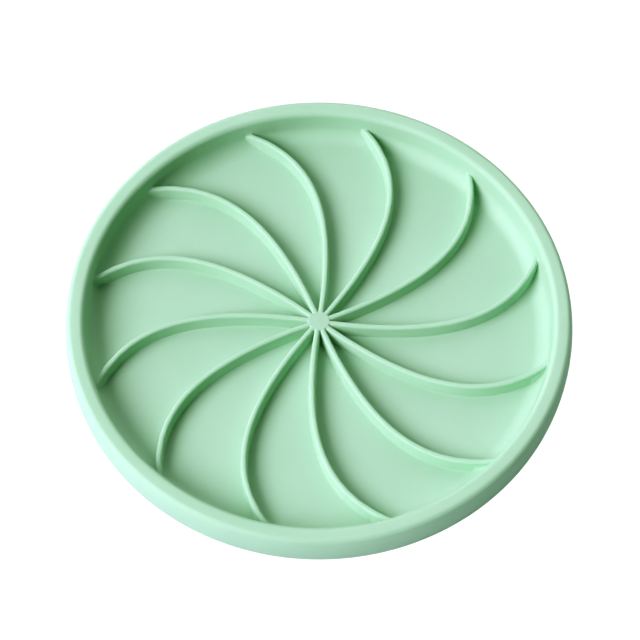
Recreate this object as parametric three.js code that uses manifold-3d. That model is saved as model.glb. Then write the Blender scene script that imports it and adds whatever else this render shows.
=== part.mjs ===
// Round lick dish, moulded in one piece of soft silicone.
// A flat floor, a raised rim with rounded edges, a small hub, and curved ribs from hub to wall.
// Millimetres, +Z up, origin at the centre of the flat underside.

import * as THREE from "three";
import { mergeVertices } from "three/addons/utils/BufferGeometryUtils.js";
import Module from "manifold-3d";

// Outer wall, which bows out a little and is widest low down
const height = 13.6;
const widestRadius = 90;
const widestHeight = 5.7;
const outerWallBow = 29;
const rimOuterRound = 2.6;
const baseEdgeRound = 0.4;

// Flat of the rim, the inner wall that leans outwards, and the floor
const rimFlatInnerRadius = 85;
const rimInnerRound = 2;
const innerWallSlope = 84;
const floorThickness = 1.6;
const floorFilletRadius = 5.9;

// Ribs and hub that stand on the floor
const ribCount = 12;
const ribHeight = 5.6;
const ribCrestWidth = 2;
const ribRootWidth = 2.7;
const ribCrestRound = 0.8;
const hubRadius = 3.6;
const hubProud = 0.1;
const hubEdgeRound = 0.3;
const hubDraft = 0.3;

// Line of a rib seen from above: turns in degrees, reached at the full radius
const firstRibAngle = 20.17;
const ribLean = 14.2;
const ribHook = 14.9;
const hookPower = 4;
const fullTurnRadius = 83.5;

// How far ribs and hub are sunk into the floor and the wall, so that they join in one solid
const sunk = 0.8;
const ribStartRadius = 1.5;
const ribEndRadius = 85;

// Steps of the round surfaces
const dishSegments = 96;
const hubSegments = 36;
const ribSteps = 16;
const roundSteps = 4;
const smallRoundSteps = 2;
const wallSteps = 4;
const filletSteps = 7;

const ribCrestZ = floorThickness + ribHeight;
const rootZ = floorThickness - sunk;

const silicone = new THREE.MeshStandardMaterial({
  color: 0xb4e3c7,
  roughness: 0.45,
  metalness: 0,
});

const wasm = await Module();
wasm.setup();

// Points of an arc, both ends included, with angles in degrees from the outward direction.
function arc(centreX, centreY, radius, from, to, steps) {
  const points = [];
  for (let i = 0; i <= steps; i += 1) {
    const angle = THREE.MathUtils.degToRad(from + ((to - from) * i) / steps);
    const x = centreX + radius * Math.cos(angle);
    const y = centreY + radius * Math.sin(angle);
    points.push(new THREE.Vector2(x, y));
  }
  return points;
}

// A profile of radius and height, turned once around the vertical axis.
function turned(profile, segments) {
  const geometry = new THREE.LatheGeometry(profile, segments);
  geometry.rotateX(Math.PI / 2);
  return geometry;
}

// The closed surface as a solid. Triangles that shrink to a line at the axis are left out.
function toSolid(geometry) {
  const bare = geometry.clone();
  bare.deleteAttribute("normal");
  bare.deleteAttribute("uv");
  const merged = mergeVertices(bare);
  const corners = merged.index.array;
  const triVerts = [];
  for (let i = 0; i < corners.length; i += 3) {
    const [a, b, c] = corners.slice(i, i + 3);
    if (a !== b && b !== c && c !== a) {
      triVerts.push(a, b, c);
    }
  }
  return new wasm.Manifold(new wasm.Mesh({
    numProp: 3,
    vertProperties: new Float32Array(merged.attributes.position.array),
    triVerts: new Uint32Array(triVerts),
  }));
}

// A solid back as a surface that can be shown.
function toGeometry(solid) {
  const mesh = solid.getMesh();
  const geometry = new THREE.BufferGeometry();
  geometry.setAttribute("position", new THREE.BufferAttribute(mesh.vertProperties, 3));
  geometry.setIndex(new THREE.BufferAttribute(mesh.triVerts, 1));
  geometry.computeVertexNormals();
  return geometry;
}

// Outer wall from the underside to the flat of the rim: three arcs, each tangent to the next.
function outerWall() {
  const bowX = widestRadius - outerWallBow;
  const baseReach = outerWallBow - baseEdgeRound;
  const rimReach = outerWallBow - rimOuterRound;
  const rimY = height - rimOuterRound;
  const down = THREE.MathUtils.radToDeg(Math.asin((widestHeight - baseEdgeRound) / baseReach));
  const up = THREE.MathUtils.radToDeg(Math.asin((rimY - widestHeight) / rimReach));
  const baseX = bowX + baseReach * Math.cos(THREE.MathUtils.degToRad(down));
  const rimX = bowX + rimReach * Math.cos(THREE.MathUtils.degToRad(up));
  return [
    ...arc(baseX, baseEdgeRound, baseEdgeRound, -90, -down, smallRoundSteps),
    ...arc(bowX, widestHeight, outerWallBow, -down, up, wallSteps).slice(1, -1),
    ...arc(rimX, rimY, rimOuterRound, up, 90, roundSteps),
  ];
}

// Inner side from the flat of the rim to the floor: rim edge, leaning wall, wide fillet.
function innerWall() {
  const slope = THREE.MathUtils.degToRad(innerWallSlope);
  const edgeX = rimFlatInnerRadius - rimInnerRound * Math.sin(slope);
  const edgeY = height - rimInnerRound * (1 - Math.cos(slope));
  const footY = floorThickness + floorFilletRadius * (1 - Math.cos(slope));
  const footX = edgeX - (edgeY - footY) / Math.tan(slope);
  const filletX = footX - floorFilletRadius * Math.sin(slope);
  const filletY = floorThickness + floorFilletRadius;
  const rimY = height - rimInnerRound;
  return [
    ...arc(rimFlatInnerRadius, rimY, rimInnerRound, 90, 90 + innerWallSlope, roundSteps),
    ...arc(filletX, filletY, floorFilletRadius, innerWallSlope - 90, -90, filletSteps),
  ];
}

// Half section of the dish, from the middle of the underside round to the middle of the floor.
function dishProfile() {
  return [
    new THREE.Vector2(0, 0),
    ...outerWall(),
    ...innerWall(),
    new THREE.Vector2(0, floorThickness),
  ];
}

// Half section of the hub: a low boss with a flat top, a hair above the ribs.
function hubProfile() {
  const top = ribCrestZ + hubProud;
  return [
    new THREE.Vector2(0, rootZ),
    new THREE.Vector2(hubRadius + hubDraft, rootZ),
    ...arc(hubRadius - hubEdgeRound, top - hubEdgeRound, hubEdgeRound, 0, 90, smallRoundSteps),
    new THREE.Vector2(0, top),
  ];
}

// The line that a rib follows over the floor. It leaves the hub with a steady lean
// and hooks round more and more as it nears the wall.
class RibLine extends THREE.Curve {
  getPoint(t, target = new THREE.Vector3()) {
    const radius = ribStartRadius + t * (ribEndRadius - ribStartRadius);
    const share = radius / fullTurnRadius;
    const turn = firstRibAngle + ribLean * share + ribHook * share ** hookPower;
    const angle = THREE.MathUtils.degToRad(turn);
    return target.set(radius * Math.cos(angle), radius * Math.sin(angle), 0);
  }
}

// Cross section of a rib, with x pointing down and y to the side: wide root, rounded crest.
function ribSection() {
  const halfCrest = ribCrestWidth / 2;
  const halfRoot = ribRootWidth / 2;
  const shoulder = -(ribCrestZ - ribCrestRound);
  const left = arc(shoulder, halfCrest - ribCrestRound, ribCrestRound, 180, 90, smallRoundSteps);
  const right = arc(shoulder, ribCrestRound - halfCrest, ribCrestRound, 270, 180, smallRoundSteps);
  return new THREE.Shape([
    new THREE.Vector2(-rootZ, -halfRoot),
    ...right,
    ...left,
    new THREE.Vector2(-rootZ, halfRoot),
  ]);
}

function ribGeometry() {
  return new THREE.ExtrudeGeometry(ribSection(), {
    steps: ribSteps,
    extrudePath: new RibLine(),
  });
}

// The dish with its hub and all its ribs, joined in one moulding.
function mouldedDish() {
  let solid = toSolid(turned(dishProfile(), dishSegments));
  solid = solid.add(toSolid(turned(hubProfile(), hubSegments)));
  const rib = ribGeometry();
  for (let i = 0; i < ribCount; i += 1) {
    const placed = rib.clone();
    placed.rotateZ((2 * Math.PI * i) / ribCount);
    solid = solid.add(toSolid(placed));
  }
  return toGeometry(solid);
}

const lickDish = new THREE.Mesh(mouldedDish(), silicone);
lickDish.name = "lick_dish";

const model = new THREE.Group();
model.add(lickDish);

export default model;
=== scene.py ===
import bpy
import numpy as np
from mathutils import Matrix, Vector


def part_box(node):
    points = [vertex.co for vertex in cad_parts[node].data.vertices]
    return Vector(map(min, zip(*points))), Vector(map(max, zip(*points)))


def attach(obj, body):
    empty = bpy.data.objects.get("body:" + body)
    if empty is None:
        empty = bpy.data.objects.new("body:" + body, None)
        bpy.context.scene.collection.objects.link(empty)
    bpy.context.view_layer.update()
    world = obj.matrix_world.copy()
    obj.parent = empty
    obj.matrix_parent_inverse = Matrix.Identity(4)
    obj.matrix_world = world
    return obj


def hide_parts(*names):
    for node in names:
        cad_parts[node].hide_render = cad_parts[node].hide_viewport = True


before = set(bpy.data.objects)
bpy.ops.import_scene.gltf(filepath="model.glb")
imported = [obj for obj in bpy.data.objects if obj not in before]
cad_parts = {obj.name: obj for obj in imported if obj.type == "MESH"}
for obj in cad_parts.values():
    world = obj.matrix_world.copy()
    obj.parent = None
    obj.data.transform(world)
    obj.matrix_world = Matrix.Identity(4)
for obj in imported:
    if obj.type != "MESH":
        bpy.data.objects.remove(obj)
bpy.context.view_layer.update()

MM = 0.001


# The dish is a shallow round bowl of soft silicone, pressed in one mould with the small hub and
# the twelve thin ribs on its floor. The ribs lean as they leave the hub and hook round at the
# wall. It is one closed surface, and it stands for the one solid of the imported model.
low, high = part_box("lick_dish")
widest_radius = (high.x - low.x) / 2
height = high.z
widest_height = 5.7 * MM
outer_wall_bow = 29 * MM
rim_outer_round = 1.9 * MM
base_edge_round = 0.9 * MM
rim_flat_inner_radius = widest_radius - 5 * MM
rim_inner_round = 2 * MM
inner_wall_slope = 82
floor_fillet = 5.9 * MM
floor_thickness = 1.6 * MM

# Cross sections of the ribs and the hub. Both have flanks that lean by the mould's draft.
flank_draft = 3.7
rib_half_width = 1 * MM
rib_height = 5.8 * MM
rib_crest_round = 0.8 * MM
rib_root_round = 0.18 * MM
hub_radius = 3.85 * MM
hub_height = 5.85 * MM
hub_edge_round = 0.3 * MM
hub_root_round = 0.3 * MM

# The line of a rib seen from above: its turns are reached at the full turn radius.
rib_count = 12
half_sector = np.pi / rib_count
first_rib = np.radians(20.17)
rib_lean = np.radians(14.2)
rib_hook = np.radians(14.9)
hook_power = 4
full_turn_radius = 83.5 * MM


def arc(centre, radius, start, end, steps):
    """Points of a circle: the centre plus the radius times the cosine and sine of even turns."""
    turns = np.radians(np.linspace(start, end, steps + 1))
    across = centre[0] + radius * np.cos(turns)
    upwards = centre[1] + radius * np.sin(turns)
    return np.column_stack((across, upwards))


def ridge_section(half_width, tall, draft, crest_round, root_round, steps=8):
    """Half section of a moulded ridge, as offsets from its middle and heights over the floor.

    A flat crest, an arc over the shoulder, a straight flank that leans out by the draft angle,
    and an arc at the root that is tangent to the flank and runs out level on the floor.
    """
    lean = np.radians(draft)
    shoulder_level = tall - crest_round
    shoulder_centre = (half_width - crest_round, shoulder_level)
    shoulder = arc(shoulder_centre, crest_round, 90, draft, steps)
    foot = half_width - crest_round + crest_round / np.cos(lean) + shoulder_level * np.tan(lean)
    root_centre = foot - root_round * np.tan(lean) + root_round / np.cos(lean)
    root = arc((root_centre, root_round), root_round, 180 + draft, 270, steps)
    section = np.concatenate(([[0, tall]], shoulder, root))
    return section[:, 0], section[:, 1]


def soft_union(first, second, blend):
    """The higher of two heights, with the corner between them filled.

    Where they differ by less than the blend, it adds (blend - difference) squared over four
    blends. Over low heights the blend shrinks to their sum, so a level floor stays level.
    """
    above_zero = 1e-9
    near = np.clip(first + second, above_zero, blend)
    short = np.clip(near - np.abs(first - second), 0, None)
    return np.maximum(first, second) + short**2 / (4 * near)


rib_offsets, rib_heights = ridge_section(
    rib_half_width, rib_height, flank_draft, rib_crest_round, rib_root_round
)
hub_offsets, hub_heights = ridge_section(
    hub_radius, hub_height, flank_draft, hub_edge_round, hub_root_round
)

# The rim's inner edge, the wall that leans out up to it and the fillet at its foot. Each is
# tangent to the next, so all of them turn by the same slope.
rim_inner_centre = (rim_flat_inner_radius, height - rim_inner_round)
rim_inner = arc(rim_inner_centre, rim_inner_round, 90 + inner_wall_slope, 90, steps=10)
slope = np.radians(inner_wall_slope)
foot_level = floor_thickness + floor_fillet * (1 - np.cos(slope))
foot_radius = rim_inner[0, 0] - (rim_inner[0, 1] - foot_level) / np.tan(slope)
fillet_centre = (foot_radius - floor_fillet * np.sin(slope), floor_fillet)
fillet_rows = arc(fillet_centre, floor_fillet, -90, inner_wall_slope - 90, steps=20)
inner_wall = np.linspace((foot_radius, foot_level), rim_inner[0], num=5)[1:-1]

# The outer side: the rim's outer edge, the wall with its slight bow, and the edge at the base.
# The flat of the rim and the underside close the section at both ends.
bow_radius = widest_radius - outer_wall_bow
rim_reach = outer_wall_bow - rim_outer_round
base_reach = outer_wall_bow - base_edge_round
rise_of_bow = np.arcsin((height - rim_outer_round - widest_height) / rim_reach)
fall_of_bow = np.arcsin((widest_height - base_edge_round) / base_reach)
rim_outer_centre = (bow_radius + rim_reach * np.cos(rise_of_bow), height - rim_outer_round)
base_centre = (bow_radius + base_reach * np.cos(fall_of_bow), base_edge_round)
bow_centre = (bow_radius, widest_height)
top_turn, base_turn = np.degrees(rise_of_bow), -np.degrees(fall_of_bow)
rim_outer = arc(rim_outer_centre, rim_outer_round, 90, top_turn, steps=12)
outer_wall = arc(bow_centre, outer_wall_bow, top_turn, base_turn, steps=9)[1:-1]
base_edge = arc(base_centre, base_edge_round, base_turn, -90, steps=6)
rim_flat = np.linspace(rim_inner[-1], rim_outer[0], num=4)[1:-1]
last_ring = (3 * MM, 0)
underside = np.linspace(base_edge[-1], last_ring, num=6)[1:]
outside = np.concatenate(
    (inner_wall, rim_inner, rim_flat, rim_outer, outer_wall, base_edge, underside)
)

# The rows inside the wall only need a radius and a height over the floor. Those of the floor
# lie closest together at the hub, where the pockets between the ribs are narrow.
hub_top_rows = np.linspace(0.6, 3, 5) * MM
hub_rows = np.concatenate((hub_top_rows, hub_offsets[1:-1]))
floor_rows = np.geomspace(hub_offsets[-1], fillet_centre[0], num=46)[:-1]
inside_radius = np.concatenate((hub_rows, floor_rows, fillet_rows[:, 0]))
level_rows = np.zeros(len(hub_rows) + len(floor_rows))
inside_rise = np.concatenate((level_rows, fillet_rows[:, 1]))
inside_count = len(inside_radius)

# The rib's turn at each row, its slant, which is the radius times the change of that turn with
# the radius, and the distance square to the rib from its middle to the middle of the pocket.
line_radius = np.concatenate((inside_radius, np.full(len(outside), foot_radius)))
share = line_radius / full_turn_radius
rib_turn = rib_lean * share + rib_hook * share**hook_power
slant = rib_lean * share + hook_power * rib_hook * share**hook_power
half_gap = line_radius * half_sector / np.sqrt(1 + slant**2)

# The columns follow the ribs over the floor and run straight over the rim. Beside each rib
# they keep to the points of its section, and the rest share out the pocket between two ribs.
# Near the hub the ribs nearly fill the pocket, so their band is held to a part of the gap.
widest_band = 0.8
band = np.minimum(rib_offsets[-1] / half_gap, widest_band)[:, None]
pocket_columns = 12
pocket_steps = np.arange(1, pocket_columns + 1) / pocket_columns
fraction = np.hstack((band * rib_offsets / rib_offsets[-1], band + (1 - band) * pocket_steps))
fraction = np.hstack((-fraction[:, -2:0:-1], fraction))
sector_columns = fraction.shape[1]
rib_angles = first_rib + 2 * half_sector * np.arange(rib_count)
angles = rib_turn[:, None, None] + rib_angles[:, None] + half_sector * fraction[:, None, :]

# Heights of the rows inside the wall: the ribs and the hub joined softly with the fillet.
valley_blend = 0.36 * MM
hub_blend = 0.15 * MM
wall_blend = 0.1 * MM
offset = np.abs(fraction[:inside_count]) * half_gap[:inside_count, None]
next_offset = 2 * half_gap[:inside_count, None] - offset
ribs = soft_union(
    np.interp(offset, rib_offsets, rib_heights),
    np.interp(next_offset, rib_offsets, rib_heights),
    valley_blend,
)
hub = np.interp(inside_radius, hub_offsets, hub_heights)[:, None]
rise = soft_union(soft_union(ribs, hub, hub_blend), inside_rise[:, None], wall_blend)

# The grid of points, with one more in the middle of the hub's top and of the underside.
rows = len(line_radius)
columns = rib_count * sector_columns
radius = np.concatenate((inside_radius, outside[:, 0]))[:, None]
outside_level = np.tile(outside[:, 1:], (1, sector_columns))
level = np.concatenate((floor_thickness + rise, outside_level))
level = np.tile(level, (1, rib_count))
angles = angles.reshape(rows, columns)
points = np.stack((radius * np.cos(angles), radius * np.sin(angles), level), axis=-1)
centres = [(0, 0, floor_thickness + hub_heights[0]), (0, 0, 0)]
points = np.concatenate((points.reshape(-1, 3), centres))

# The faces: four corners between neighbouring rows and columns, and a fan at each end.
number = np.arange(rows * columns).reshape(rows, columns)
following = np.roll(number, -1, axis=1)
quads = np.stack((number[:-1], number[1:], following[1:], following[:-1]), axis=-1)
top_centre = np.full(columns, rows * columns)
top_fan = np.stack((top_centre, number[0], following[0]), axis=-1)
under_fan = np.stack((number[-1], top_centre + 1, following[-1]), axis=-1)
faces = quads.reshape(-1, 4).tolist() + top_fan.tolist() + under_fan.tolist()

mesh = bpy.data.meshes.new("lick_dish_moulding")
mesh.from_pydata(points, [], faces)
mesh.shade_smooth()
dish = bpy.data.objects.new("lick_dish_moulding", mesh)
bpy.context.scene.collection.objects.link(dish)

# The silicone is mint green and nearly matt, and it lets a little light through. Its tint and
# its roughness drift a little over the dish, and its skin has a very fine grain.
deeper_mint = (0.325, 0.566, 0.408, 1)
paler_mint = (0.349, 0.592, 0.434, 1)
silicone = bpy.data.materials.new("mint_silicone")
silicone.use_nodes = True
nodes = silicone.node_tree.nodes
links = silicone.node_tree.links
shader = nodes["Principled BSDF"]
place = nodes.new("ShaderNodeTexCoord")


def noise(scale, detail):
    """A cloud of soft random values around a half, with this many waves to the metre."""
    node = nodes.new("ShaderNodeTexNoise")
    node.inputs["Scale"].default_value = scale
    node.inputs["Detail"].default_value = detail
    links.new(place.outputs["Object"], node.inputs["Vector"])
    return node.outputs["Fac"]


def spread(value, lowest, highest, start=0.3, end=0.7):
    """The value from start to end carried over evenly to the range from lowest to highest."""
    node = nodes.new("ShaderNodeMapRange")
    node.inputs["From Min"].default_value = start
    node.inputs["From Max"].default_value = end
    node.inputs["To Min"].default_value = lowest
    node.inputs["To Max"].default_value = highest
    links.new(value, node.inputs["Value"])
    return node.outputs["Result"]


# A Mix node set to colour takes its factor at socket 0 and its two colours at 6 and 7, and
# gives the mixed colour at socket 2.
tint = nodes.new("ShaderNodeMix")
tint.data_type = "RGBA"
mix_factor, first_colour, second_colour = tint.inputs[0], tint.inputs[6], tint.inputs[7]
mixed_colour = tint.outputs[2]
first_colour.default_value = deeper_mint
second_colour.default_value = paler_mint
links.new(spread(noise(scale=30, detail=3), lowest=0, highest=1), mix_factor)
links.new(mixed_colour, shader.inputs["Base Color"])
roughness = spread(noise(scale=60, detail=4), lowest=0.62, highest=0.74)
links.new(roughness, shader.inputs["Roughness"])
grain = nodes.new("ShaderNodeBump")
grain.inputs["Strength"].default_value = 0.12
grain.inputs["Distance"].default_value = 0.02 * MM
links.new(noise(scale=3000, detail=2), grain.inputs["Height"])
links.new(grain.outputs["Normal"], shader.inputs["Normal"])
shader.inputs["IOR"].default_value = 1.36
shader.inputs["Subsurface Weight"].default_value = 0.23
shader.inputs["Subsurface Radius"].default_value = (0.51, 1, 0.57)
shader.inputs["Subsurface Scale"].default_value = 7 * MM
mesh.materials.append(silicone)

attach(dish, "root")
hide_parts("lick_dish")


# The camera stands in front of the dish and looks down at it steeply. Its lens and place put
# the rim, the wall and the ribs where the picture has them. The focal length is in pixels, and
# so is the hub's shift from the middle of the picture, to the right and down.
picture_width = 640
focal_pixels = 2820.9
sensor_width_mm = 36
elevation = np.radians(61.03)
roll = np.radians(0.097)
distance = 1002.7 * MM
hub_right = -1.003
hub_down = 2.012
crest_height = 6.444 * MM

level_right = np.array((1, 0, 0))
level_up = np.array((0, np.sin(elevation), np.cos(elevation)))
back = np.array((0, -np.cos(elevation), np.sin(elevation)))
right = np.cos(roll) * level_right + np.sin(roll) * level_up
up = np.cos(roll) * level_up - np.sin(roll) * level_right
aside = distance / focal_pixels * (hub_down * up - hub_right * right)
stand_point = np.array((0, 0, crest_height)) + distance * back + aside

lens = bpy.data.cameras.new("camera")
lens.sensor_width = sensor_width_mm
lens.lens = sensor_width_mm * focal_pixels / picture_width
camera = bpy.data.objects.new("camera", lens)
turned = Matrix((right, up, back)).transposed().to_4x4()
camera.matrix_world = Matrix.Translation(stand_point) @ turned
bpy.context.scene.collection.objects.link(camera)
bpy.context.scene.camera = camera


# The studio floor is a plain pale sheet, a little blue, that throws light back at the dish.
# The camera sees an evenly glowing backdrop sheet in its place, which gives the dish no light.
# The print is balanced on the backdrop's glow, so that it comes out as pure white.
backdrop_glow = (0.831, 1, 0.844)
pale_blue = (0.69, 0.71, 0.8)
black = (0, 0, 0)
floor_size = 6
half = floor_size / 2
corners = [(-half, -half, 0), (half, -half, 0), (half, half, 0), (-half, half, 0)]


def paper_sheet(name, reflected, glow):
    """A square sheet on the ground that reflects this colour and glows this much."""
    sheet_mesh = bpy.data.meshes.new(name)
    sheet_mesh.from_pydata(corners, [], [(0, 1, 2, 3)])
    sheet = bpy.data.objects.new(name, sheet_mesh)
    bpy.context.scene.collection.objects.link(sheet)
    paper = bpy.data.materials.new(name)
    paper.use_nodes = True
    paper_shader = paper.node_tree.nodes["Principled BSDF"]
    paper_shader.inputs["Base Color"].default_value = (*reflected, 1)
    paper_shader.inputs["Roughness"].default_value = 0.9
    paper_shader.inputs["Specular IOR Level"].default_value = 0
    paper_shader.inputs["Emission Color"].default_value = (*backdrop_glow, 1)
    paper_shader.inputs["Emission Strength"].default_value = glow
    sheet_mesh.materials.append(paper)
    return sheet


studio_floor = paper_sheet("studio_floor", reflected=pale_blue, glow=0)
studio_floor.visible_camera = False
backdrop = paper_sheet("white_backdrop", reflected=black, glow=1.1)
backdrop.visible_diffuse = False
backdrop.visible_glossy = False
backdrop.visible_transmission = False
backdrop.visible_shadow = False


# The main light is a large round softbox at the left, a little to the front. Wide soft lights
# fill in from the left and the back. Azimuths and elevations are degrees, and azimuths turn
# from +X towards +Y. A fill light's width is in degrees as the dish sees it.
lamp_distance = 4


def aimed_lamp(name, kind, azimuth, elevation):
    """A lamp on this side of the dish, at the lamp distance, turned to shine at the dish.

    Its direction is the cosine of the elevation times the cosine and sine of the azimuth,
    with the sine of the elevation upwards.
    """
    turn, tilt = np.radians(azimuth), np.radians(elevation)
    towards = Vector((np.cos(turn) * np.cos(tilt), np.sin(turn) * np.cos(tilt), np.sin(tilt)))
    lamp = bpy.data.lights.new(name, kind)
    stand = bpy.data.objects.new(name, lamp)
    stand.location = towards * lamp_distance
    stand.rotation_mode = "QUATERNION"
    stand.rotation_quaternion = towards.to_track_quat("Z", "Y")
    bpy.context.scene.collection.objects.link(stand)
    return lamp


def fill_light(name, azimuth, elevation, width, strength):
    """A wide patch of even light, whose strength doesn't fall off with distance."""
    lamp = aimed_lamp(name, "SUN", azimuth, elevation)
    lamp.angle = np.radians(width)
    lamp.energy = strength


softbox_diameter = 2.9
softbox_watts = 200
softbox = aimed_lamp("softbox", "AREA", azimuth=209, elevation=41)
softbox.shape = "DISK"
softbox.size = softbox_diameter
softbox.energy = softbox_watts
fill_light("left_high", azimuth=195, elevation=45, width=40, strength=0.7)
fill_light("front_low", azimuth=222, elevation=20, width=50, strength=0.53)
fill_light("back_left", azimuth=150, elevation=30, width=60, strength=0.24)
fill_light("back", azimuth=94, elevation=30, width=80, strength=1.6)
fill_light("back_right", azimuth=50, elevation=25, width=60, strength=0.28)
world = bpy.data.worlds.new("studio")
bpy.context.scene.world = world
world.use_nodes = True
room = world.node_tree.nodes["Background"]
room.inputs["Color"].default_value = (1, 1, 1, 1)
room.inputs["Strength"].default_value = 0.005

# The picture is printed with the gentle contrast of a studio photograph: each of red, green
# and blue is raised to a power of its own, by a curve through evenly spaced shades.
contrast_powers = (1.183, 0.976, 1.29)
shades = np.linspace(0, 1, num=9)
view = bpy.context.scene.view_settings
view.view_transform = "Standard"
view.use_curve_mapping = True
print_curves = view.curve_mapping
print_curves.white_level = backdrop_glow
for channel, power in enumerate(contrast_powers):
    curve = print_curves.curves[channel]
    curve.points[-1].location = (1, 1)
    for shade in shades[1:-1]:
        curve.points.new(shade, shade**power)
print_curves.update()
